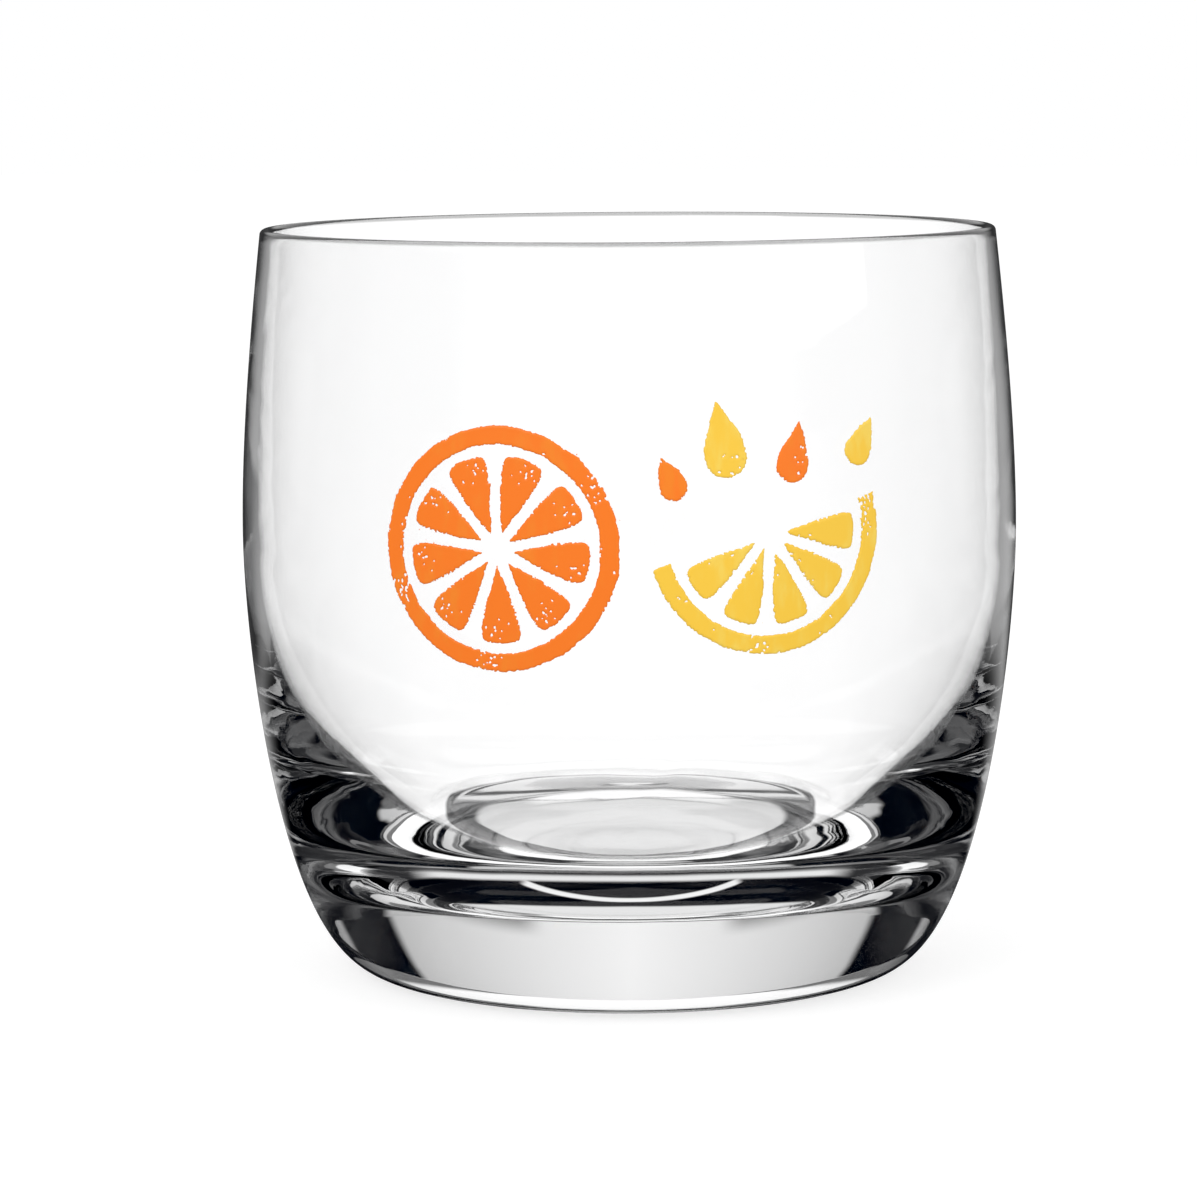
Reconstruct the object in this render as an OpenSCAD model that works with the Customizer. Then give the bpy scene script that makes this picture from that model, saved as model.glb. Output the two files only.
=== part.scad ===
// Low barrel tumbler with a heavy base and a fired citrus print on its front.
// Lengths are in millimetres. The glass stands on the plane z = 0 with its axis on Z,
// and the print faces -Y.

/* [Outside] */
// Height from the foot to the lip
glass_h = 81.5; // [72:0.5:95]
// Largest outside diameter, at the belly
belly_d = 85; // [82:0.5:98]
// Height of the belly above the foot
belly_z = 48.6; // [40:0.2:58]
// Outside diameter at the lip
rim_d = 80.3; // [70:0.1:84]
// Outside diameter of the flat foot
foot_d = 56; // [44:0.5:66]

/* [Wall and base] */
// Thickness of the rounded lip
lip_t = 1.2; // [0.9:0.1:2.4]
// Thickness of the wall where it meets the bowl of the cavity
wall_t = 1.8; // [1:0.1:3]
// Height at which the bowl of the cavity meets the wall
bowl_z = 47; // [34:0.2:50]
// Thickness of the base under the floor of the cavity
base_t = 11.2; // [8:0.1:18]
// Diameter of the flat floor of the cavity
floor_d = 43; // [30:0.5:50]
// Width of the ring that the glass stands on
ring_w = 4.3; // [2:0.1:8]
// Depth of the hollow inside that ring
punt_h = 1.9; // [0.5:0.1:3]

/* [Print] */
// Thickness of the fired enamel
ink_t = 0.1; // [0.06:0.01:0.3]
// Height of the middle of the print above the foot
print_z = 50.6; // [44:0.2:56]
// Width of the gap between neighbouring segments of a slice
segment_gap = 1.1; // [0.6:0.1:1.6]
// Width of the bare pith between a rind and its segments
pith_w = 1; // [0.6:0.1:1.6]
// Width of the painted rinds
rind_w = 1.9; // [1:0.1:3]

/* [Orange slice] */
// Diameter of the whole slice
orange_d = 25; // [18:0.5:28]
// Place of its centre across the front, to the right of the middle
orange_x = -13.4; // [-18:0.2:-8]
// Number of segments round it
orange_segments = 9; // [7:1:11]
// Turn of its segments
orange_turn = 12; // [0:1:40]

/* [Lemon slice] */
// Diameter of the half slice
lemon_d = 25; // [16:0.5:28]
// Place of its centre across the front, to the right of the middle
lemon_x = 14.2; // [8:0.2:18]
// Place of its centre above the middle of the print
lemon_rise = 1.6; // [-4:0.2:6]
// Number of segments in the half
lemon_segments = 5; // [4:1:6]
// Tilt of its cut edge
lemon_tilt = 16; // [-30:1:30]

/* [Drops] */
// Length of the largest drop
drop_l = 8; // [5:0.2:9]
// Width of the largest drop
drop_w = 5.2; // [3:0.1:6]
// Spread of the drops across the front
drops_w = 23; // [16:0.5:26]
// Height of the highest drop above the middle of the print
drops_rise = 11.2; // [9:0.2:13]

/* [Hidden] */
$fn = 128;

// Radii that follow from the diameters above.
belly_r = belly_d / 2;
rim_r = rim_d / 2;
foot_r = foot_d / 2;
floor_r = floor_d / 2;
ring_in_r = foot_r - ring_w;
lip_r = lip_t / 2;
lip_z = glass_h - lip_r;

// How far the curves keep their end directions, as shares of the run that they cross.
heel_share = 0.74;
flank_share = 0.27;
shoulder_share = 0.36;
floor_edge_share = 0.27;
bowl_share = 0.74;

// Straight steps along each curve.
lower_steps = 18;
upper_steps = 7;
wall_steps = 5;
lip_steps = 6;
bowl_steps = 17;
punt_steps = 4;
petal_steps = 9;
drop_steps = 22;

// Powers that round the outer corners of a segment and draw out the tip of a drop.
corner_power = 8;
corner_root = 1 / 3;
tip_power = 1.5;

// Each drop: place across the spread, place up the rise, size, each as a share, and its tilt in degrees.
orange_drop_shares = [[0.62, 0.86, 0.8], [0.06, 0.66, 0.62]];
orange_drop_tilts = [-12, 24];
lemon_drop_shares = [[0.3, 1, 1], [0.93, 0.94, 0.7]];
lemon_drop_tilts = [10, -30];

// Inks and glass as they look in the hand.
glass_tint = [0.86, 0.93, 0.94, 0.35];
orange_ink = [1, 0.5, 0.09];
yellow_ink = [0.99, 0.81, 0.26];

// One point between two others.
function mix(a, b, t) = a + (b - a) * t;

// Point at share t along the curve that the control points p draw.
function curve_at(p, t) =
    len(p) == 1 ? p[0] : curve_at([for (i = [0 : len(p) - 2]) mix(p[i], p[i + 1], t)], t);

// Points along that curve, without its first one.
function curve(p, steps) = [for (i = [1 : steps]) curve_at(p, i / steps)];

function reversed(p) = [for (i = [len(p) - 1 : -1 : 0]) p[i]];

// Outside of the glass, from the edge of the foot to the lip, as [radius, height].
function outside() =
    let (
        foot = [foot_r, 0],
        heel = [mix(foot_r, belly_r, heel_share), 0],
        flank = [belly_r, belly_z * (1 - flank_share)],
        belly = [belly_r, belly_z],
        shoulder = [belly_r, mix(belly_z, lip_z, shoulder_share)],
        rim = [rim_r, lip_z]
    )
    concat([foot], curve([foot, heel, flank, belly], lower_steps), curve([belly, shoulder, rim], upper_steps));

// Rounded lip, from the outside over the top to the inside.
function lip() =
    [for (i = [1 : lip_steps - 1])
        let (a = 180 * i / lip_steps)
        [rim_r - lip_r + lip_r * cos(a), lip_z + lip_r * sin(a)]];

// Outside radius at height z.
function outer_r(z) = lookup(z, [for (p = outside()) [p[1], p[0]]]);

// Inside of the wall at share s of the way from the bowl up to the lip, where the wall thins.
function wall_at(s) =
    let (z = mix(bowl_z, lip_z, s))
    [outer_r(z) - mix(wall_t, lip_t, s), z];

// Inside of the glass, from the middle of its floor up to the lip. The bowl leaves the wall along its slope.
function inside() =
    let (
        floor_edge = [floor_r, base_t],
        wall_foot = wall_at(0),
        toe = [mix(floor_r, wall_foot[0], floor_edge_share), base_t],
        lean = (wall_at(1 / wall_steps) - wall_foot) * wall_steps / (lip_z - bowl_z),
        bowl = wall_foot - lean * (bowl_z - base_t) * bowl_share
    )
    concat(
        [[0, base_t], floor_edge],
        curve([floor_edge, toe, bowl, wall_foot], bowl_steps),
        [for (i = [1 : wall_steps]) wall_at(i / wall_steps)]
    );

// Hollow under the base, from its middle out to the ring that the glass stands on.
function punt() =
    [for (i = [0 : punt_steps])
        let (s = i / punt_steps)
        [ring_in_r * s, punt_h * (1 - s * s)]];

// One segment of a slice: its tip at the origin, its round back at radius r on the X axis.
function petal(r, half_angle) =
    [for (i = [-petal_steps : petal_steps - 1])
        let (
            s = sin(90 * i / petal_steps),
            reach = r * pow(1 - pow(abs(s), corner_power), corner_root),
            a = half_angle * s
        )
        [reach * cos(a), reach * sin(a)]];

// A drop with its tip up, centred on the origin.
function drop(length, width) =
    let (
        turns = [for (i = [0 : drop_steps - 1]) 360 * i / drop_steps],
        swell = [for (t = turns) sin(t) * pow(sin(t / 2), tip_power)]
    )
    [for (i = [0 : drop_steps - 1]) [width / 2 * swell[i] / max(swell), length / 2 * cos(turns[i])]];

// Thin skin on the outside of the glass, from which the prints are cut.
module ink_skin() {
    side = outside();
    skin = concat(side, reversed([for (p = side) [p[0] + ink_t, p[1]]]));
    rotate([0, 0, 180])
        rotate_extrude(angle = 180)
            polygon(skin);
}

// Lays a flat motif on the front of the glass, x across from the middle and z up.
module on_front(x, z) {
    rotate([0, 0, asin(x / belly_r)])
        translate([0, 0, z])
            rotate([90, 0, 0])
                linear_extrude(height = belly_d)
                    children();
}

// Ring of a whole slice.
module rind(d) {
    difference() {
        circle(d = d);
        circle(d = d - 2 * rind_w);
    }
}

// Segments over a span of degrees, turned by first.
module pulp(d, count, span, first) {
    half_angle = span / count / 2;
    tip = segment_gap / 2 / sin(half_angle);
    for (i = [0 : count - 1])
        rotate([0, 0, first + half_angle * (2 * i + 1)])
            translate([tip, 0])
                polygon(petal(d / 2 - rind_w - pith_w - tip, half_angle));
}

module drops(shares, tilts) {
    for (i = [0 : len(shares) - 1])
        on_front(lemon_x + drops_w * (shares[i][0] - 1 / 2), print_z + drops_rise * shares[i][1])
            rotate([0, 0, tilts[i]])
                polygon(drop(drop_l * shares[i][2], drop_w * shares[i][2]));
}

module glass_body() {
    color(glass_tint)
        rotate_extrude()
            polygon(concat(outside(), lip(), reversed(inside()), punt()));
}

module orange_rind() {
    color(orange_ink)
        intersection() {
            ink_skin();
            on_front(orange_x, print_z)
                rind(orange_d);
        }
}

module orange_pulp() {
    color(orange_ink)
        intersection() {
            ink_skin();
            on_front(orange_x, print_z)
                pulp(orange_d, orange_segments, 360, orange_turn);
        }
}

module lemon_rind() {
    color(yellow_ink)
        intersection() {
            ink_skin();
            on_front(lemon_x, print_z + lemon_rise)
                rotate([0, 0, lemon_tilt])
                    intersection() {
                        rind(lemon_d);
                        translate([-lemon_d / 2, -lemon_d])
                            square([lemon_d, lemon_d]);
                    }
        }
}

module lemon_pulp() {
    color(yellow_ink)
        intersection() {
            ink_skin();
            on_front(lemon_x, print_z + lemon_rise)
                pulp(lemon_d, lemon_segments, 180, 180 + lemon_tilt);
        }
}

module orange_drops() {
    color(orange_ink)
        intersection() {
            ink_skin();
            drops(orange_drop_shares, orange_drop_tilts);
        }
}

module lemon_drops() {
    color(yellow_ink)
        intersection() {
            ink_skin();
            drops(lemon_drop_shares, lemon_drop_tilts);
        }
}

glass_body();
orange_rind();
orange_pulp();
lemon_rind();
lemon_pulp();
orange_drops();
lemon_drops();
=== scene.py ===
"""Juice glass: a low barrel tumbler of clear glass with a citrus print fired on its front.

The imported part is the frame. This script spins the glass as one smooth solid, brushes each motif of the print
on its wall as a thin coat of enamel, and sets up the studio and the camera.
Lengths are in millimetres in the classes, and go through MM where a mesh is made.
The glass stands on z = 0 with its axis on Z, and the print faces -Y.
"""

import logging
import math
from dataclasses import dataclass, field
from enum import Enum
from functools import cached_property
from typing import Union

import bmesh
import bpy
import numpy as np
from mathutils import Matrix, Vector, noise


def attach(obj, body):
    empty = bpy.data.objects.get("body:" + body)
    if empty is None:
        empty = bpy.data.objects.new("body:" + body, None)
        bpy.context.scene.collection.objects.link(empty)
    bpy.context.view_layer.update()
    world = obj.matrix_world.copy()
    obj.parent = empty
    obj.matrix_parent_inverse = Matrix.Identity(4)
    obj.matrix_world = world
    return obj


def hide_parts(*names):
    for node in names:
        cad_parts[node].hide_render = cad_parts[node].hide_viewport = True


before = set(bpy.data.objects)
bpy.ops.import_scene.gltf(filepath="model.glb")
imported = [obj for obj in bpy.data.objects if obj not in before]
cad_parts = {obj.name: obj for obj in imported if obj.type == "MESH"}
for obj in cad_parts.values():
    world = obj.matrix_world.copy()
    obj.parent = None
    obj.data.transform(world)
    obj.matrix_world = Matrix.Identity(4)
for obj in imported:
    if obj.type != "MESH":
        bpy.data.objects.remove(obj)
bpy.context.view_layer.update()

MM = 0.001
BODY = "root"

MAX_BOUNCES = 32
GLOSSY_BOUNCES = 16
TRANSMISSION_BOUNCES = 24

Point = tuple[float, float]
Place = tuple[float, float, float]
Output = bpy.types.NodeSocket
Value = Union[Output, float]
log = logging.getLogger("juice_glass")


def mix(a: float, b: float, share: float) -> float:
    """Value at a share of the way from a to b."""
    return a + (b - a) * share


def bend(points: list[Point], share: float) -> Point:
    """Point on the curve that control points draw.

    Args:
        points: Control points as (radius, height).
        share: How far along the curve, from 0 to 1.

    Returns:
        The point as (radius, height).
    """
    while len(points) > 1:
        points = [(mix(a[0], b[0], share), mix(a[1], b[1], share)) for a, b in zip(points, points[1:])]
    return points[0]


def bend_points(points: list[Point], steps: int) -> list[Point]:
    """Points along the curve that control points draw, without its first one."""
    return [bend(points, i / steps) for i in range(1, steps + 1)]


def new_object(name: str, bm: bmesh.types.BMesh) -> bpy.types.Object:
    """Turns a finished bmesh into an object at the origin.

    Args:
        name: Name of the piece.
        bm: Mesh in metres, which is freed here.

    Returns:
        The linked object.
    """
    mesh = bpy.data.meshes.new(name)
    bm.to_mesh(mesh)
    bm.free()
    mesh.shade_smooth()
    piece = bpy.data.objects.new(name, mesh)
    bpy.context.scene.collection.objects.link(piece)
    return piece


@dataclass(frozen=True)
class Limit:
    """Where something starts or ends, and how soft that edge is on each side of it."""

    at: float
    soft: float


class Sheet:
    """A node tree and the few moves that the finishes and the studio need in it."""

    def __init__(self, tree: bpy.types.NodeTree) -> None:
        """Empties the tree."""
        self.tree = tree
        tree.nodes.clear()

    def add(self, kind: str, inputs: dict | None = None, **settings: object) -> bpy.types.Node:
        """Adds a node.

        Args:
            kind: Node type without the word ShaderNode.
            inputs: Socket name or number to a value, or to an output that is linked in.
            **settings: Properties of the node itself.

        Returns:
            The node.
        """
        node = self.tree.nodes.new("ShaderNode" + kind)
        for name, value in settings.items():
            setattr(node, name, value)
        for name, value in (inputs or {}).items():
            if isinstance(value, bpy.types.NodeSocket):
                self.tree.links.new(value, node.inputs[name])
            else:
                node.inputs[name].default_value = value
        return node

    def math(self, operation: str, *values: Value) -> Output:
        """Output of a Math node over numbers or outputs."""
        return self.add("Math", dict(enumerate(values)), operation=operation).outputs[0]

    def times(self, first: Value, second: Value) -> Output:
        """Product of two numbers or outputs."""
        return self.math("MULTIPLY", first, second)

    def ramp(self, value: Output, start: float, end: float) -> Output:
        """Output that eases from 0 where value is at start to 1 where it is at end."""
        inputs = {"Value": value, "From Min": start, "From Max": end}
        return self.add("MapRange", inputs, interpolation_type="SMOOTHSTEP").outputs[0]

    def above(self, value: Output, limit: Limit) -> Output:
        """Output that is 1 where value is above a limit and 0 below it."""
        return self.ramp(value, limit.at - limit.soft, limit.at + limit.soft)

    def below(self, value: Output, limit: Limit) -> Output:
        """Output that is 1 where value is below a limit and 0 above it."""
        return self.ramp(value, limit.at + limit.soft, limit.at - limit.soft)

    def blend(self, share: Value, first: Value, second: Value) -> Output:
        """Number that goes from first to second as share goes from 0 to 1."""
        return self.add("Mix", {0: share, 2: first, 3: second}, data_type="FLOAT").outputs[0]

    def noise(self, place: Output, scale: float, detail: float, distortion: float = 0.0) -> Output:
        """Noise from 0 to 1 at a place."""
        inputs = {"Vector": place, "Scale": scale, "Detail": detail, "Distortion": distortion}
        return self.add("TexNoise", inputs).outputs[0]

    def turn(self, place: Output) -> Output:
        """Angle in degrees between straight behind the glass and a place or direction, seen from above."""
        across, along, _ = self.add("SeparateXYZ", {0: place}).outputs
        angle = self.math("ARCTAN2", self.math("ABSOLUTE", across), along)
        return self.times(angle, 180 / math.pi)

    def bounced(self, rays: bpy.types.Node) -> Output:
        """Whether a ray was thrown back at least once inside the glass, as 1 or 0, from its Light Path node."""
        return self.math("GREATER_THAN", rays.outputs["Glossy Depth"], 0.5)


@dataclass(frozen=True)
class ClearGlass:
    """Fire-polished soda-lime glass, with the slow waves that a pressed and polished surface keeps.

    The top of the lip has painted shade, a grey in the glass's colour, for the fine dark line that the lip shows.
    That is a choice of look, not a property of the glass. Lengths are in metres.
    """

    ior: float = 1.5
    lip_low: float = 0.0809
    lip_high: float = 0.0812
    lip_shade_level: float = 0.3
    wave_scale: float = 75.0
    wave_flow: float = 1.8
    wave_detail: float = 1.0
    wave_distortion: float = 0.6
    wave_height: float = 0.00004

    def material(self) -> bpy.types.Material:
        """Makes the glass: clear, smooth, with waves drawn out round the wall, and painted shade on the top of the
        lip.
        """
        made = bpy.data.materials.new("clear_glass")
        made.use_nodes = True
        sheet = Sheet(made.node_tree)
        place = sheet.add("TexCoord").outputs["Object"]
        flow = sheet.add("Mapping", {"Vector": place, "Scale": (1.0, 1.0, self.wave_flow)}).outputs[0]
        waves = sheet.noise(flow, self.wave_scale, self.wave_detail, self.wave_distortion)
        bump = {"Height": waves, "Strength": 1.0, "Distance": self.wave_height}
        relief = sheet.add("Bump", bump).outputs[0]
        height = sheet.add("SeparateXYZ", {0: place}).outputs[2]
        # Painted shade: the colour goes grey from 0.6 mm below the top of the lip, and is full grey over its last
        # 0.3 mm.
        painted_shade = sheet.blend(sheet.ramp(height, self.lip_low, self.lip_high), 1.0, self.lip_shade_level)
        shader = sheet.add(
            "BsdfPrincipled",
            {
                "Base Color": painted_shade,
                "Roughness": 0.0,
                "IOR": self.ior,
                "Transmission Weight": 1.0,
                "Normal": relief,
            },
        )
        sheet.add("OutputMaterial", {"Surface": shader.outputs[0]})
        return made


class Ink(Enum):
    """The two enamels of the print, as linear colours: full and where the brush left less."""

    ORANGE = ("orange_enamel", (0.99, 0.205, 0.007), (0.96, 0.235, 0.006))
    YELLOW = ("yellow_enamel", (0.965, 0.6, 0.05), (0.95, 0.66, 0.095))

    @property
    def slot(self) -> str:
        """Name of the enamel's material."""
        return self.value[0]


@dataclass(frozen=True)
class FiredEnamel:
    """Opaque enamel, brushed on and fired: satin, faintly streaked, with a little relief."""

    ink: Ink
    roughness: float = 0.42
    full_gloss: float = 0.06
    thin_dull: float = 0.1
    streak_turn: float = 0.5
    streak_stretch: float = 0.3
    streak_scale: float = 900.0
    streak_detail: float = 4.0
    pool_scale: float = 180.0
    pool_detail: float = 2.0
    thin_start: float = 0.22
    thin_end: float = 0.42
    relief: float = 0.12
    relief_height: float = 0.0001
    ior: float = 1.5
    specular: float = 0.4

    def material(self) -> bpy.types.Material:
        """Makes the enamel with the streaks of the brush in its colour, gloss and relief."""
        made = bpy.data.materials.new(self.ink.slot)
        made.use_nodes = True
        sheet = Sheet(made.node_tree)
        place = sheet.add("TexCoord").outputs["Object"]
        turned = sheet.add(
            "Mapping",
            {"Vector": place, "Rotation": (0.0, self.streak_turn, 0.0), "Scale": (1.0, 1.0, self.streak_stretch)},
        ).outputs[0]
        streaks = sheet.noise(turned, self.streak_scale, self.streak_detail)
        pools = sheet.noise(place, self.pool_scale, self.pool_detail)
        thin = sheet.ramp(sheet.times(streaks, pools), self.thin_start, self.thin_end)
        _, full, bare = self.ink.value
        colour = sheet.add("Mix", {0: thin, 6: (*full, 1.0), 7: (*bare, 1.0)}, data_type="RGBA").outputs[2]
        gloss = sheet.blend(thin, self.roughness - self.full_gloss, self.roughness + self.thin_dull)
        bump = {"Height": streaks, "Strength": self.relief, "Distance": self.relief_height}
        relief = sheet.add("Bump", bump).outputs[0]
        shader = sheet.add(
            "BsdfPrincipled",
            {
                "Base Color": colour,
                "Roughness": gloss,
                "IOR": self.ior,
                "Specular IOR Level": self.specular,
                "Normal": relief,
            },
        )
        sheet.add("OutputMaterial", {"Surface": shader.outputs[0]})
        return made


@dataclass(frozen=True)
class TumblerShape:
    """Sizes and curves of the glass. They are the ones of the part's source, drawn with finer steps."""

    glass_h: float = 81.5
    belly_r: float = 42.5
    belly_z: float = 48.6
    rim_r: float = 40.15
    foot_r: float = 28.0
    lip_t: float = 1.2
    wall_t: float = 1.8
    bowl_z: float = 47.0
    base_t: float = 11.2
    floor_r: float = 21.5
    ring_w: float = 4.3
    punt_h: float = 1.9
    heel_share: float = 0.74
    flank_share: float = 0.27
    shoulder_share: float = 0.36
    floor_edge_share: float = 0.27
    bowl_share: float = 0.74
    lower_steps: int = 72
    upper_steps: int = 28
    lip_steps: int = 14
    bowl_steps: int = 64
    wall_steps: int = 40
    punt_steps: int = 20
    lean_run: float = 4.0
    floor_shares: tuple[float, ...] = (0.0, 0.25, 0.5, 0.75, 0.93, 1.0)
    ring_shares: tuple[float, ...] = (0.06, 0.5, 0.94)

    @property
    def lip_z(self) -> float:
        """Height at which the rounded lip starts."""
        return self.glass_h - self.lip_t / 2

    def outside(self) -> list[Point]:
        """Outside of the glass, from the edge of the foot up to the lip."""
        foot = (self.foot_r, 0.0)
        heel = (mix(self.foot_r, self.belly_r, self.heel_share), 0.0)
        flank = (self.belly_r, self.belly_z * (1 - self.flank_share))
        belly = (self.belly_r, self.belly_z)
        shoulder = (self.belly_r, mix(self.belly_z, self.lip_z, self.shoulder_share))
        rim = (self.rim_r, self.lip_z)
        lower = bend_points([foot, heel, flank, belly], self.lower_steps)
        upper = bend_points([belly, shoulder, rim], self.upper_steps)
        return [foot] + lower + upper

    @cached_property
    def side(self) -> np.ndarray:
        """Outside of the glass as rows of radius and height."""
        return np.array(self.outside())

    def radius(self, height: float) -> float:
        """Outside radius at a height."""
        return float(np.interp(height, self.side[:, 1], self.side[:, 0]))

    def lip(self) -> list[Point]:
        """Rounded lip, over the top from the outside to the inside."""
        round_r = self.lip_t / 2
        middle = self.rim_r - round_r
        turns = [math.pi * i / self.lip_steps for i in range(1, self.lip_steps)]
        return [(middle + round_r * math.cos(a), self.lip_z + round_r * math.sin(a)) for a in turns]

    def inside(self) -> list[Point]:
        """Inside of the glass, from the middle of its floor up to the lip."""

        def wall(share: float) -> Point:
            height = mix(self.bowl_z, self.lip_z, share)
            return (self.radius(height) - mix(self.wall_t, self.lip_t, share), height)

        floor = [(self.floor_r * share, self.base_t) for share in self.floor_shares]
        start = wall(0)
        lean = (self.radius(self.bowl_z + self.lean_run) - self.radius(self.bowl_z)) / self.lean_run
        reach = self.bowl_share * (self.bowl_z - self.base_t)
        toe = (mix(self.floor_r, start[0], self.floor_edge_share), self.base_t)
        bowl = (start[0] - lean * reach, self.bowl_z - reach)
        side = [wall(i / self.wall_steps) for i in range(1, self.wall_steps + 1)]
        return floor + bend_points([floor[-1], toe, bowl, start], self.bowl_steps) + side

    def underside(self) -> list[Point]:
        """Underside, from the middle of the hollow out to the foot's edge."""
        inner = self.foot_r - self.ring_w
        shares = [i / self.punt_steps for i in range(self.punt_steps + 1)]
        hollow = [(inner * share, self.punt_h * (1 - share**2)) for share in shares]
        return hollow + [(mix(inner, self.foot_r, share), 0.0) for share in self.ring_shares]


@dataclass
class GlassBody:
    """The glass itself: wall, lip, bowl, thick base and the ring that it stands on, in one melt."""

    shape: TumblerShape
    finish: ClearGlass
    turns: int = 180
    weld: float = 1e-6

    def build(self) -> bpy.types.Object:
        """Spins the outline into a closed solid and dresses it.

        Returns:
            The glass, which stands for its CAD node.
        """
        outline = self.shape.underside() + self.shape.outside() + self.shape.lip() + self.shape.inside()[::-1]
        bm = bmesh.new()
        rail = [bm.verts.new((r * MM, 0.0, z * MM)) for r, z in outline]
        edges = [bm.edges.new(pair) for pair in zip(rail, rail[1:])]
        bmesh.ops.spin(
            bm,
            geom=rail + edges,
            cent=(0, 0, 0),
            axis=(0, 0, 1),
            angle=math.tau,
            steps=self.turns,
            use_merge=True,
        )
        bmesh.ops.remove_doubles(bm, verts=bm.verts, dist=self.weld)
        bmesh.ops.recalc_face_normals(bm, faces=bm.faces)
        piece = new_object("glass", bm)
        piece.data.materials.append(self.finish.material())
        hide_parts("glass_body")
        return piece


@dataclass(frozen=True)
class Brush:
    """How a half-dry brush lays the enamel: with a wavy, grainy edge and patches of bare specks."""

    wave: float = 0.14
    wave_length: float = 1.9
    grain: float = 0.12
    grain_length: float = 0.3
    grain_seed: float = 7.0
    speck_length: float = 0.24
    speck_stretch: float = 1.6
    speck_seed: float = 19.0
    patch: float = 0.55
    patch_length: float = 4.2
    patch_seed: float = 31.0
    dryness: float = 0.5
    cover_slope: float = 0.35
    seed: float = 0.0

    def at(self, a: float, b: float, own_seed: float) -> float:
        """Noise from -1 to 1 at a place, with a seed of its own."""
        return noise.noise(Vector((a, b, self.seed + own_seed)))

    def edge(self, x: float, z: float) -> float:
        """How far the edge of the stroke wanders at a place."""
        wave = self.at(x / self.wave_length, z / self.wave_length, 0.0)
        grain = self.at(x / self.grain_length, z / self.grain_length, self.grain_seed)
        return self.wave * wave + self.grain * grain

    def cover(self, along: float, across: float) -> float:
        """How well enamel covers a place inside a stroke: below 0 the glass is bare.

        Args:
            along: Place along the stroke.
            across: Place across it.

        Returns:
            The cover, in about millimetres from the edge of a bare speck.
        """
        stretch = self.speck_length * self.speck_stretch
        speck = self.at(along / stretch, across / self.speck_length, self.speck_seed)
        patch = self.at(along / self.patch_length, across / self.patch_length, self.patch_seed)
        return (self.dryness - self.patch * patch - speck) * self.cover_slope


@dataclass
class Motif:
    """A motif brushed on the front of the glass: flat first, then laid on the wall."""

    node: str
    ink: Ink
    x: float
    z: float
    reach: Point
    shape: TumblerShape
    brush: Brush = field(default_factory=Brush)
    cell: float = 0.13
    well_outside: float = -0.3
    probe: float = 0.04
    least_slope: float = 0.05
    most_move: float = 0.55
    lift: float = 0.012
    ink_t: float = 0.1
    rim_share: float = 0.35

    def depth(self, a: float, b: float) -> tuple[float, float, float]:
        """Distance inside the motif, and the place along and across the brush stroke, at a flat place."""
        raise NotImplementedError

    def cover(self, a: float, b: float) -> float:
        """Enamel at a flat place: above 0 where there is some, in about millimetres from its edge."""
        depth, along, across = self.depth(a, b)
        edge = depth + self.brush.edge(a, b)
        if edge < self.well_outside:
            return edge
        return min(edge, self.brush.cover(along, across))

    def flat_sheet(self) -> bmesh.types.BMesh:
        """Cuts the motif out of a fine grid and draws its border smooth.

        Returns:
            The sheet in millimetres, flat in x and y.
        """
        bm = bmesh.new()
        width, height = self.reach
        columns, rows = round(width / self.cell), round(height / self.cell)
        bmesh.ops.create_grid(bm, x_segments=columns, y_segments=rows, size=1.0)
        half = max(v.co.x for v in bm.verts)
        bmesh.ops.scale(bm, verts=bm.verts, vec=(width / 2 / half, height / 2 / half, 1.0))
        cover = {v: self.cover(v.co.x, v.co.y) for v in bm.verts}
        bare = [f for f in bm.faces if sum(cover[v] for v in f.verts) <= 0]
        bmesh.ops.delete(bm, geom=bare, context="FACES")
        for v in [v for v in bm.verts if v.is_boundary]:
            x, y, here, step = v.co.x, v.co.y, cover[v], self.probe
            slope = Vector((self.cover(x + step, y) - here, self.cover(x, y + step) - here)) / step
            if slope.length > self.least_slope:
                move = -here * slope / slope.length_squared
                if move.length > self.most_move * self.cell:
                    move *= self.most_move * self.cell / move.length
                v.co.x += move.x
                v.co.y += move.y
        return bm

    def on_wall(self, a: float, b: float, rise: float) -> Vector:
        """Place on the wall of a flat place, seen straight on from in front of the motif's middle.

        Args:
            a: Across from the motif's middle.
            b: Up from the motif's middle.
            rise: Height above the glass.

        Returns:
            The place in metres.
        """
        height = self.z + b
        radius = self.shape.radius(height)
        turn = math.asin(self.x / self.shape.belly_r) + math.asin(a / radius)
        return Vector(((radius + rise) * math.sin(turn), -(radius + rise) * math.cos(turn), height)) * MM

    def build(self, finish: bpy.types.Material) -> bpy.types.Object:
        """Lays the motif on the glass as a thin coat, thinner at its edge.

        Args:
            finish: Enamel of its ink.

        Returns:
            The coat, which stands for its CAD node.
        """
        bm = self.flat_sheet()
        places = {v: (v.co.x, v.co.y, v.is_boundary) for v in bm.verts}
        made = bmesh.ops.extrude_face_region(bm, geom=bm.faces[:])
        tops = [e for e in made["geom"] if isinstance(e, bmesh.types.BMVert)]
        for v in tops:
            is_rim = any(e.other_vert(v) in places and places[e.other_vert(v)][2] for e in v.link_edges)
            rise = self.ink_t * (self.rim_share if is_rim else 1.0)
            v.co = self.on_wall(v.co.x, v.co.y, rise)
        for v, (a, b, _) in places.items():
            if v.is_valid:
                v.co = self.on_wall(a, b, self.lift)
        bmesh.ops.recalc_face_normals(bm, faces=bm.faces)
        piece = new_object(self.node + "_coat", bm)
        piece.data.materials.append(finish)
        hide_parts(self.node)
        return piece


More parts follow.
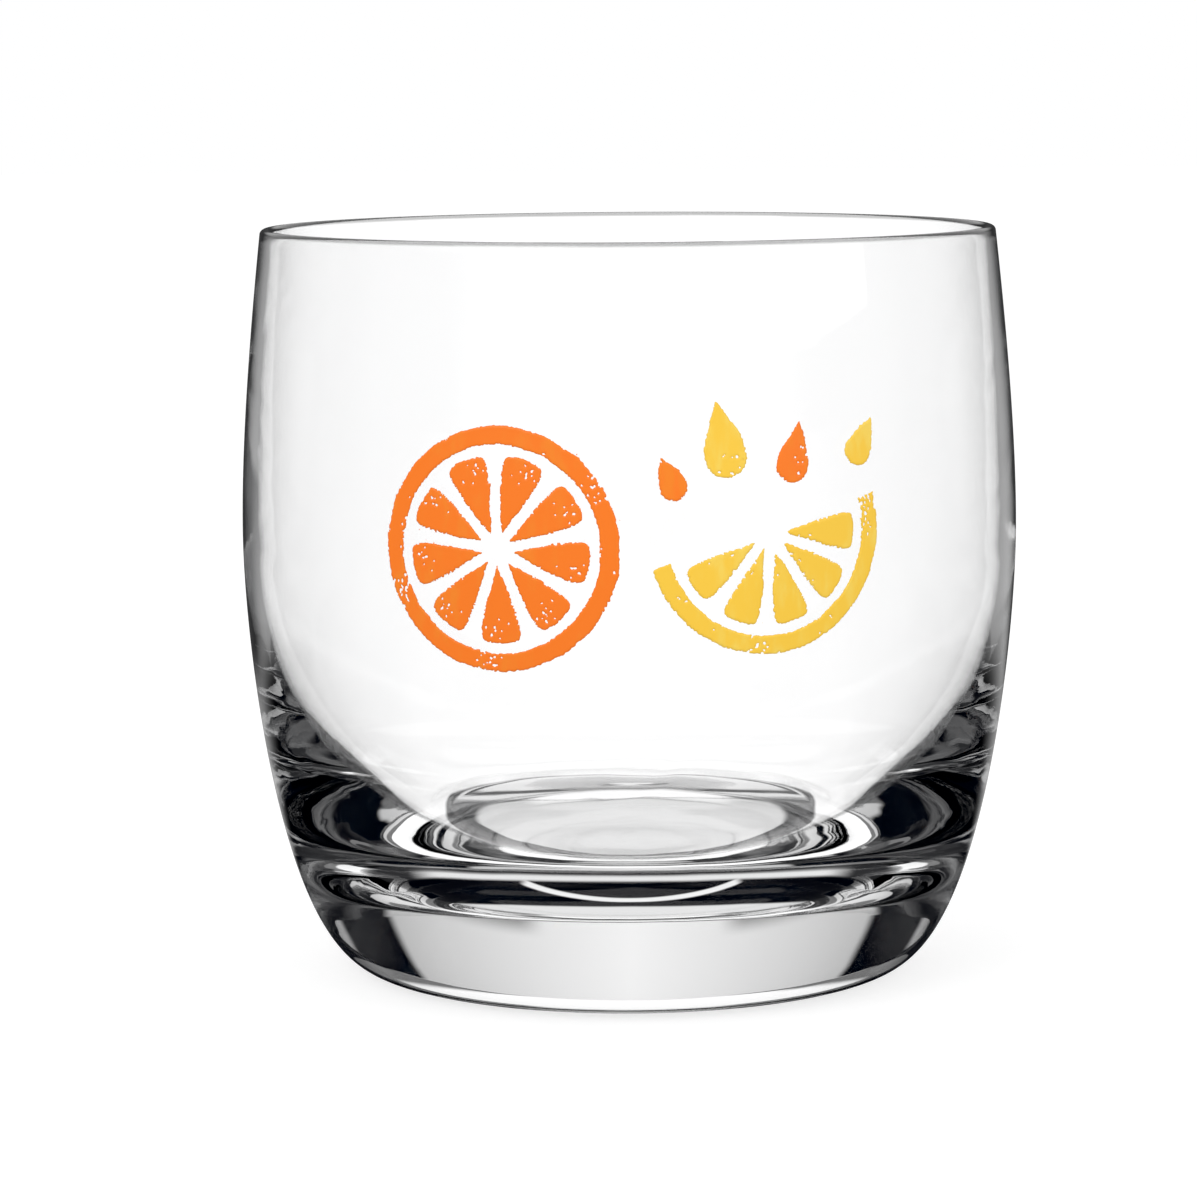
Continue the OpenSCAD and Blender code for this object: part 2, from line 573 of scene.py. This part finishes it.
@dataclass
class Rind(Motif):
    """Ring of a whole or a half slice, one round stroke."""

    slice_d: float = 25.0
    rind_w: float = 1.9
    tilt: float = 0.0
    is_half: bool = False

    def depth(self, a: float, b: float) -> tuple[float, float, float]:
        """Distance inside the ring, with the stroke running round it."""
        out = math.hypot(a, b)
        turn = math.atan2(b, a)
        middle = (self.slice_d - self.rind_w) / 2
        inside = self.rind_w / 2 - abs(out - middle)
        if self.is_half:
            tilt = math.radians(self.tilt)
            inside = min(inside, a * math.sin(tilt) - b * math.cos(tilt))
        return inside, turn * middle, out


@dataclass
class Pulp(Motif):
    """Segments of a slice, each brushed outwards from its tip."""

    slice_d: float = 25.0
    rind_w: float = 1.9
    pith_w: float = 1.0
    segment_gap: float = 1.1
    count: int = 9
    span: float = 360.0
    first: float = 12.0
    corner_power: int = 8
    corner_root: float = 1 / 3

    def depth(self, a: float, b: float) -> tuple[float, float, float]:
        """Distance inside the nearest segment, with the stroke running along it."""
        half = math.radians(self.span / self.count / 2)
        tip = self.segment_gap / 2 / math.sin(half)
        reach = self.slice_d / 2 - self.rind_w - self.pith_w - tip
        turn = (math.atan2(b, a) - math.radians(self.first)) % math.tau
        which = min(int(turn / (2 * half)), self.count - 1)
        middle = half * (2 * which + 1)
        if turn > math.radians(self.span) + half:
            middle = half
            turn -= math.tau
        out = math.hypot(a, b)
        along = out * math.cos(turn - middle) - tip
        across = out * math.sin(turn - middle)
        far, swing = math.hypot(along, across), abs(math.atan2(across, along)) / half
        if swing >= 1:
            return -min(far, far * math.sin(min(half * (swing - 1), math.pi / 2))), along, across
        back = reach * (1 - swing**self.corner_power) ** self.corner_root - far
        return min(back, far * math.sin(half * (1 - swing))), along, across


@dataclass
class Drops(Motif):
    """Falling drops, each a short stroke from its tip."""

    drops: list[tuple[float, float, float, float, float]] = field(default_factory=list)
    tip_power: float = 1.5
    swell_most: float = 0.8322
    side_share: float = 0.85
    nowhere: float = -9.0

    def depth(self, a: float, b: float) -> tuple[float, float, float]:
        """Distance inside the nearest drop, with the stroke running from its tip."""
        best = (self.nowhere, 0.0, 0.0)
        for x, z, length, width, tilt in self.drops:
            turn = math.radians(tilt)
            across = (a - x) * math.cos(turn) + (b - z) * math.sin(turn)
            along = (b - z) * math.cos(turn) - (a - x) * math.sin(turn)
            if abs(along) >= length / 2:
                inside = length / 2 - math.hypot(along, across)
            else:
                swing = math.acos(2 * along / length)
                swell = math.sin(swing) * math.sin(swing / 2) ** self.tip_power / self.swell_most
                inside = (width / 2 * swell - abs(across)) * self.side_share
            best = max(best, (inside, along, across))
        return best


@dataclass
class CitrusPrint:
    """The whole print: an orange slice, half a lemon slice and drops over it, in two inks."""

    shape: TumblerShape
    print_z: float = 50.6
    orange_x: float = -13.4
    lemon_x: float = 14.2
    lemon_rise: float = 1.6
    lemon_tilt: float = 16.0
    drop_l: float = 8.0
    drop_w: float = 5.2
    drops_w: float = 23.0
    drops_rise: float = 11.2
    drop_margin: float = 1.2
    slice_reach: float = 26.4
    drop_seed: float = 40.0
    seed_step: int = 9
    seed_letter: int = 3

    def drops(self, node: str, ink: Ink, shares: list[tuple[float, float, float, float]]) -> list[Drops]:
        """Drops of one ink, one motif for each, because each faces outwards where it is.

        Args:
            node: CAD node that they stand for.
            ink: Their enamel.
            shares: Place across the spread, place up the rise and size, as shares, and tilt in degrees.

        Returns:
            One motif for each drop.
        """
        made = []
        for i, (across, up, size, tilt) in enumerate(shares):
            x = self.lemon_x + self.drops_w * (across - 0.5)
            z = self.print_z + self.drops_rise * up
            drop = (0.0, 0.0, self.drop_l * size, self.drop_w * size, tilt)
            side = self.drop_l * size + self.drop_margin
            brush = Brush(seed=self.drop_seed + self.seed_step * i + self.seed_letter * len(node))
            made.append(Drops(node, ink, x, z, (side, side), self.shape, brush, drops=[drop]))
        return made

    def motifs(self) -> list[Motif]:
        """All motifs of the print, in the order in which they are laid."""
        z = self.print_z
        lemon_z = z + self.lemon_rise
        whole, shape = (self.slice_reach, self.slice_reach), self.shape
        half_turn = 180 + self.lemon_tilt
        return [
            Rind("orange_rind", Ink.ORANGE, self.orange_x, z, whole, shape, Brush(seed=1.0)),
            Pulp("orange_pulp", Ink.ORANGE, self.orange_x, z, whole, shape, Brush(seed=2.0)),
            Rind(
                "lemon_rind",
                Ink.YELLOW,
                self.lemon_x,
                lemon_z,
                whole,
                shape,
                Brush(seed=3.0),
                tilt=self.lemon_tilt,
                is_half=True,
            ),
            Pulp(
                "lemon_pulp",
                Ink.YELLOW,
                self.lemon_x,
                lemon_z,
                whole,
                shape,
                Brush(seed=4.0),
                count=5,
                span=180.0,
                first=half_turn,
            ),
            *self.drops("orange_drops", Ink.ORANGE, [(0.62, 0.86, 0.8, -12.0), (0.06, 0.66, 0.62, 24.0)]),
            *self.drops("lemon_drops", Ink.YELLOW, [(0.3, 1.0, 1.0, 10.0), (0.93, 0.94, 0.7, -30.0)]),
        ]

    def build(self) -> list[bpy.types.Object]:
        """Lays every motif on the glass.

        Returns:
            One object for each motif.
        """
        enamels = {ink: FiredEnamel(ink).material() for ink in Ink}
        made = []
        for i, motif in enumerate(self.motifs()):
            piece = motif.build(enamels[motif.ink])
            piece.name = f"{piece.name.split('.')[0]}_{i}"
            made.append(piece)
        return made


@dataclass(frozen=True)
class Softbox:
    """The softbox behind the glass: brightest in its middle, narrower upwards, with a dark card low on each side."""

    half: Limit = Limit(36.0, 1.5)
    taper: float = 0.14
    fall: float = 0.46
    top: Limit = Limit(33.0, 3.0)
    card_in: Limit = Limit(11.0, 2.0)
    card_top: Limit = Limit(10.5, 1.5)
    card: float = 0.3

    def level(self, sheet: Sheet, turn: Output, rise: Output) -> Output:
        """Level of the softbox in a direction, zero outside it."""
        edge = sheet.math("MULTIPLY_ADD", rise, self.taper, turn)
        lit = sheet.math("MULTIPLY_ADD", turn, -self.fall / self.half.at, 1.0)
        lit = sheet.times(lit, sheet.below(edge, self.half))
        lit = sheet.times(lit, sheet.below(rise, self.top))
        card = sheet.times(sheet.above(turn, self.card_in), sheet.below(rise, self.card_top))
        return sheet.times(lit, sheet.blend(card, 1.0, self.card))


@dataclass(frozen=True)
class Panel:
    """An evenly lit panel between limits of turn and rise."""

    power: float
    turn_from: Limit | None = None
    turn_to: Limit | None = None
    rise_from: Limit | None = None
    rise_to: Limit | None = None

    def level(self, sheet: Sheet, turn: Output, rise: Output) -> Value:
        """Level of the panel in a direction, zero outside it."""
        lit: Value = self.power
        for value, start, end in ((turn, self.turn_from, self.turn_to), (rise, self.rise_from, self.rise_to)):
            if start is not None:
                lit = sheet.times(lit, sheet.above(value, start))
            if end is not None:
                lit = sheet.times(lit, sheet.below(value, end))
        return lit


@dataclass(frozen=True)
class SideGlint:
    """What the outside of the glass mirrors: a soft panel on each side, and near black elsewhere."""

    start: Limit = Limit(29.0, 9.0)
    end: Limit = Limit(75.0, 12.0)
    dark: float = 0.06
    power: float = 0.85

    def level(self, sheet: Sheet, turn: Output, shift: Value = 0.0) -> Output:
        """Level of the panels by turn.

        Args:
            sheet: Node tree of the shader.
            turn: Angle from straight behind the glass.
            shift: How much later the panels start.

        Returns:
            Level in reflections.
        """
        inner = sheet.above(sheet.math("SUBTRACT", turn, shift), self.start)
        return sheet.blend(sheet.times(inner, sheet.below(turn, self.end)), self.dark, self.power)


@dataclass(frozen=True)
class Room:
    """What the glass looks out on: a softbox behind, a canopy over it, and dim panels at the sides and in front.

    Straight through its walls the glass shows plain white on every side, and higher up the panels. What bounces
    inside the glass sees the panels alone. Angles are in degrees, and turns are counted from straight behind the
    glass.
    """

    softbox: Softbox = Softbox()
    canopy: Panel = Panel(0.9, turn_to=Limit(50.0, 4.0), rise_from=Limit(42.0, 3.0))
    front: Panel = Panel(0.6, turn_from=Limit(148.0, 4.0), rise_to=Limit(16.0, 4.0))
    sides: Panel = Panel(0.12, turn_from=Limit(74.0, 6.0), turn_to=Limit(106.0, 6.0))
    panel_white: float = 0.97
    clear: float = 1.0
    clear_top: Limit = Limit(7.0, 2.0)
    clear_side: Limit = Limit(57.0, 3.0)
    clear_side_level: float = 0.6
    glint: SideGlint = SideGlint()
    gleam: float = 0.9
    gleam_low: Limit = Limit(10.0, 4.0)
    gleam_side: Limit = Limit(70.0, 10.0)
    plain: float = 0.8
    haze: tuple[float, float, float] = (0.0, 0.0004, 0.0024)

    def by_ray(self, sheet: Sheet, rays: bpy.types.Node, mirrored: Value, through: Value) -> Output:
        """Level for each kind of ray except the camera's.

        Args:
            sheet: Node tree of the shader.
            rays: Its Light Path node.
            mirrored: Level in reflections from the outside of the glass.
            through: Level that shines through the glass.

        Returns:
            Level by kind of ray. Diffuse light is plain.
        """
        dim = sheet.blend(rays.outputs["Is Diffuse Ray"], mirrored, self.plain)
        return sheet.blend(rays.outputs["Is Transmission Ray"], dim, through)

    def hazed(self, sheet: Sheet, level: Output) -> Output:
        """Colour of a grey level, with the cool haze that is left in the darkest parts of the room."""
        inputs = {0: level, 1: (1.0, 1.0, 1.0), 2: self.haze}
        return sheet.add("VectorMath", inputs, operation="MULTIPLY_ADD").outputs[0]

    def panels(self, sheet: Sheet, turn: Output, rise: Output) -> Output:
        """Light of all panels in a direction.

        Args:
            sheet: Node tree of the world.
            turn: Angle from straight behind the glass.
            rise: Angle above the level.

        Returns:
            Level of the panels, zero where there is only the dark room.
        """
        lit = self.softbox.level(sheet, turn, rise)
        for panel in (self.canopy, self.front, self.sides):
            lit = sheet.math("ADD", lit, panel.level(sheet, turn, rise))
        return sheet.times(lit, self.panel_white)

    def through(self, sheet: Sheet, rays: bpy.types.Node, turn: Output, rise: Output) -> Output:
        """Level that shines through the glass.

        Args:
            sheet: Node tree of the world.
            rays: Its Light Path node.
            turn: Angle from straight behind the glass.
            rise: Angle above the level.

        Returns:
            The panels for rays that bounced, and for the others a room that is the same in front as behind.
        """
        folded = sheet.math("MINIMUM", turn, sheet.math("SUBTRACT", 180.0, turn))
        aside = sheet.times(sheet.above(folded, self.clear_side), self.clear_side_level)
        high = sheet.math("MAXIMUM", self.panels(sheet, folded, rise), aside)
        straight = sheet.blend(sheet.above(rise, self.clear_top), self.clear, high)
        return sheet.blend(sheet.bounced(rays), straight, self.panels(sheet, turn, rise))

    def hang(self) -> None:
        """Makes the world: plain white to the camera, and the room to every other ray."""
        world = bpy.data.worlds.new("studio")
        bpy.context.scene.world = world
        world.use_nodes = True
        sheet = Sheet(world.node_tree)
        rays = sheet.add("LightPath")
        look = sheet.add("TexCoord").outputs["Generated"]
        turn = sheet.turn(look)
        up = sheet.add("SeparateXYZ", {0: look}).outputs[2]
        rise = sheet.times(sheet.math("ARCSINE", up), 180 / math.pi)
        over = sheet.times(sheet.above(rise, self.gleam_low), sheet.below(turn, self.gleam_side))
        mirrored = sheet.blend(over, self.glint.level(sheet, turn), self.gleam)
        around = self.by_ray(sheet, rays, mirrored, self.through(sheet, rays, turn, rise))
        seen = sheet.blend(rays.outputs["Is Camera Ray"], around, 1.0)
        shader = sheet.add("Background", {"Color": self.hazed(sheet, seen)})
        sheet.add("OutputWorld", {"Surface": shader.outputs[0]})


@dataclass(frozen=True)
class Spot:
    """A place on the table as node outputs: across and along from the glass, its distance, turn and bounced rays."""

    across: Output
    along: Output
    away: Output
    turn: Output
    bounced: Output


@dataclass(frozen=True)
class Table:
    """The white table, with painted light and shade for every ray but the camera's: painted shade where cards would
    stand beside it, a painted shadow under the foot with a painted pool of light in its core, and a painted bright
    line bowed in front of that core.

    The bowed line is there only to show as the bright curve in the base. Lengths are in millimetres, and angles in
    degrees from straight behind the glass.
    """

    room: Room
    half: float = 3000.0
    drop: float = 0.2
    seen_glow: float = 0.7
    seen_grey: float = 0.42
    white: float = 1.15
    card: float = 0.03
    card_start: float = 26.0
    card_spread: float = 0.09
    card_most: float = 62.0
    card_edge: Limit = Limit(5.0, 5.0)
    view_spread: float = 0.137
    view_side: Limit = Limit(20.0, 10.0)
    far_side: float = 0.2
    # Painted shadow in front of the glass and, next to the foot, a painted bright ring.
    front: float = 0.5
    front_start: Limit = Limit(32.35, 1.15)
    front_bright_ring: float = 0.85
    near_front_end: Limit = Limit(30.2, 0.4)
    front_turn: Limit = Limit(119.0, 7.0)
    front_end: Limit = Limit(52.5, 7.5)
    # Painted contact shadow under the foot, with a painted lit core and a painted bright arc.
    light_r: float = 24.0
    contact_r: float = 28.3
    contact_turn: Limit = Limit(105.0, 20.0)
    contact_edge: Limit = Limit(0.5, 0.5)
    core: float = 0.82
    core_end: Limit = Limit(19.2, 0.6)
    arc: float = 0.95
    arc_r: float = 22.3
    arc_bow: float = 0.0125
    arc_width: Limit = Limit(0.8, 0.3)
    arc_half: Limit = Limit(13.75, 0.75)
    gleam: float = 0.4
    gleam_half: Limit = Limit(44.0, 10.0)
    near: Limit = Limit(200.0, 40.0)
    left_shift: float = 12.0
    left_end: Limit = Limit(800.0, 100.0)

    def spot(self, sheet: Sheet, rays: bpy.types.Node) -> Spot:
        """Place that the table's shader works on, in the terms of its zones."""
        place = sheet.add("TexCoord").outputs["Object"]
        far = sheet.add("VectorMath", {0: place}, operation="LENGTH").outputs["Value"]
        across, along, _ = sheet.add("SeparateXYZ", {0: place}).outputs
        lengths = (sheet.math("DIVIDE", length, MM) for length in (across, along, far))
        return Spot(*lengths, turn=sheet.turn(place), bounced=sheet.bounced(rays))

    def open_level(self, sheet: Sheet, spot: Spot) -> Output:
        """Level of the open table through the glass.

        Args:
            sheet: Node tree of the table.
            spot: Place on the table.

        Returns:
            White, with painted shade beside the glass where cards would stand, for rays that bounced, and close in
            front of it a painted shadow with a painted bright ring next to the foot.
        """
        # Painted shade beside the glass, where cards would stand and outside the view, for rays that bounced.
        spread = sheet.math("MULTIPLY_ADD", spot.away, self.card_spread, self.card_start)
        past = sheet.math("SUBTRACT", spot.turn, sheet.math("MINIMUM", spread, self.card_most))
        carded = sheet.blend(sheet.above(past, self.card_edge), self.white, self.card)
        aside = sheet.math("MULTIPLY_ADD", spot.along, -self.view_spread, sheet.math("ABSOLUTE", spot.across))
        far = sheet.math("MINIMUM", carded, self.far_side)
        carded = sheet.blend(sheet.above(aside, self.view_side), carded, far)
        carded = sheet.blend(spot.bounced, self.white, carded)
        # Painted shadow in front of the glass, a painted bright ring just outside the foot, and a dark gap between
        # them.
        front = sheet.times(sheet.above(spot.away, self.front_start), self.front)
        front = sheet.math("MULTIPLY_ADD", sheet.below(spot.away, self.near_front_end), self.front_bright_ring, front)
        reach = sheet.math("MAXIMUM", spot.bounced, sheet.below(spot.away, self.front_end))
        ahead = sheet.times(sheet.above(spot.turn, self.front_turn), reach)
        return sheet.blend(ahead, carded, front)

    def foot_level(self, sheet: Sheet, spot: Spot) -> Output:
        """Painted light and shade on the table under the foot: a painted shadow with a painted pool of light in its
        core, and a thin painted bright line bowed in front of it.
        """
        core = sheet.times(sheet.below(spot.away, self.core_end), self.core)
        wide = sheet.math("ABSOLUTE", spot.across)
        bow = sheet.math("MULTIPLY_ADD", sheet.times(wide, wide), self.arc_bow, self.arc_r)
        off = sheet.math("ABSOLUTE", sheet.math("ADD", spot.along, bow))
        arc = sheet.times(sheet.below(off, self.arc_width), sheet.below(wide, self.arc_half))
        return sheet.math("MULTIPLY_ADD", arc, self.arc, core)

    def mirror_level(self, sheet: Sheet, spot: Spot) -> Output:
        """Level of the table in reflections from the outside: the side panels, and a faint gleam close behind."""
        gleam = sheet.times(sheet.below(spot.turn, self.gleam_half), self.gleam)
        gleam = sheet.times(gleam, sheet.math("GREATER_THAN", spot.away, self.contact_r))
        left = sheet.times(sheet.math("LESS_THAN", spot.across, 0.0), sheet.below(spot.away, self.left_end))
        panel = self.room.glint.level(sheet, spot.turn, sheet.times(left, self.left_shift))
        return sheet.blend(sheet.below(spot.away, self.near), panel, gleam)

    def level(self, sheet: Sheet, rays: bpy.types.Node) -> Output:
        """Level of the table for every ray but the camera's."""
        spot = self.spot(sheet, rays)
        # Painted contact shadow under the foot: its edge lies at light_r behind the glass and at contact_r in front
        # of it.
        edge = sheet.blend(sheet.above(spot.turn, self.contact_turn), self.light_r, self.contact_r)
        open_share = sheet.above(sheet.math("SUBTRACT", spot.away, edge), self.contact_edge)
        through = sheet.blend(open_share, self.foot_level(sheet, spot), self.open_level(sheet, spot))
        return self.room.by_ray(sheet, rays, self.mirror_level(sheet, spot), through)

    def lay(self) -> bpy.types.Object:
        """Lays the table: white with a faint real shadow to the camera, and its zones of painted light and shade to
        every other ray.

        Returns:
            The table, which is no part of the object.
        """
        bm = bmesh.new()
        bmesh.ops.create_grid(bm, x_segments=1, y_segments=1, size=self.half * MM)
        bmesh.ops.translate(bm, verts=bm.verts, vec=(0.0, 0.0, -self.drop * MM))
        table = new_object("studio_floor", bm)
        made = bpy.data.materials.new("studio_floor")
        made.use_nodes = True
        sheet = Sheet(made.node_tree)
        rays = sheet.add("LightPath")
        zones = sheet.add("Emission", {"Color": self.room.hazed(sheet, self.level(sheet, rays))}).outputs[0]
        glow = sheet.add("Emission", {"Strength": self.seen_glow}).outputs[0]
        lit = sheet.add("BsdfDiffuse", {"Color": (*[self.seen_grey] * 3, 1.0)}).outputs[0]
        seen = sheet.add("AddShader", {0: glow, 1: lit}).outputs[0]
        shader = sheet.add("MixShader", {0: rays.outputs["Is Camera Ray"], 1: zones, 2: seen})
        sheet.add("OutputMaterial", {"Surface": shader.outputs[0]})
        table.data.materials.append(made)
        return table


@dataclass
class SoftLamp:
    """A large lamp, which shows neither to the camera nor through the glass. Places are in metres."""

    name: str
    place: Place
    size: float
    power: float
    aim: Place = (0.0, 0.0, 0.04)

    def hang(self) -> bpy.types.Object:
        """Hangs the lamp, turned to the glass.

        Returns:
            The lamp, which is no part of the object.
        """
        light = bpy.data.lights.new(self.name, "AREA")
        light.size = self.size
        light.energy = self.power
        lamp = bpy.data.objects.new(self.name, light)
        lamp.location = self.place
        lamp.rotation_mode = "QUATERNION"
        lamp.rotation_quaternion = (Vector(self.place) - Vector(self.aim)).to_track_quat("Z", "Y")
        lamp.visible_transmission = False
        lamp.visible_camera = False
        bpy.context.scene.collection.objects.link(lamp)
        return lamp


@dataclass(frozen=True)
class PhotoCamera:
    """The camera of the photograph. Angles are in degrees, places in metres, and the sensor in millimetres."""

    away: float = 0.480
    height: float = 0.1015
    focal_px: float = 4377.0
    photo_px: float = 1197.0
    pitch: float = 7.27
    yaw: float = -0.41
    roll: float = 0.39
    sensor: float = 36.0
    near: float = 0.01
    far: float = 50.0

    def stand(self) -> bpy.types.Object:
        """Stands the camera in front of the glass and makes it the scene's own.

        Returns:
            The camera.
        """
        yaw, pitch, roll = (math.radians(v) for v in (self.yaw, self.pitch, self.roll))
        right = Vector((math.cos(yaw), -math.sin(yaw), 0.0))
        level = Vector((math.sin(yaw), math.cos(yaw), 0.0))
        ahead = level * math.cos(pitch) - Vector((0, 0, math.sin(pitch)))
        up = level * math.sin(pitch) + Vector((0, 0, math.cos(pitch)))
        across = right * math.cos(roll) - up * math.sin(roll)
        upward = right * math.sin(roll) + up * math.cos(roll)
        data = bpy.data.cameras.new("photo_camera")
        data.sensor_fit = "HORIZONTAL"
        data.sensor_width = self.sensor
        data.lens = self.focal_px * self.sensor / self.photo_px
        data.clip_start, data.clip_end = self.near, self.far
        camera = bpy.data.objects.new("photo_camera", data)
        turn = Matrix((across, upward, -ahead)).transposed()
        camera.matrix_world = Matrix.Translation((0.0, -self.away, self.height)) @ turn.to_4x4()
        bpy.context.scene.collection.objects.link(camera)
        bpy.context.scene.camera = camera
        return camera


def main() -> None:
    """Builds the glass, its print and the studio, in that order."""
    logging.basicConfig(level=logging.INFO, format="%(name)s: %(message)s")
    shape = TumblerShape()
    pieces = [GlassBody(shape, ClearGlass()).build(), *CitrusPrint(shape).build()]
    for piece in pieces:
        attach(piece, BODY)
        log.info("%s: %d faces", piece.name, len(piece.data.polygons))
    room = Room()
    room.hang()
    Table(room).lay()
    SoftLamp("key_lamp", place=(-0.7, -0.9, 0.9), size=0.9, power=6.0).hang()
    SoftLamp("fill_lamp", place=(0.9, -0.6, 0.6), size=0.9, power=3.0).hang()
    PhotoCamera().stand()
    scene = bpy.context.scene
    scene.cycles.max_bounces = MAX_BOUNCES
    scene.cycles.glossy_bounces = GLOSSY_BOUNCES
    scene.cycles.transmission_bounces = TRANSMISSION_BOUNCES
    scene.view_settings.view_transform = "Standard"


if __name__ == "__main__":
    main()
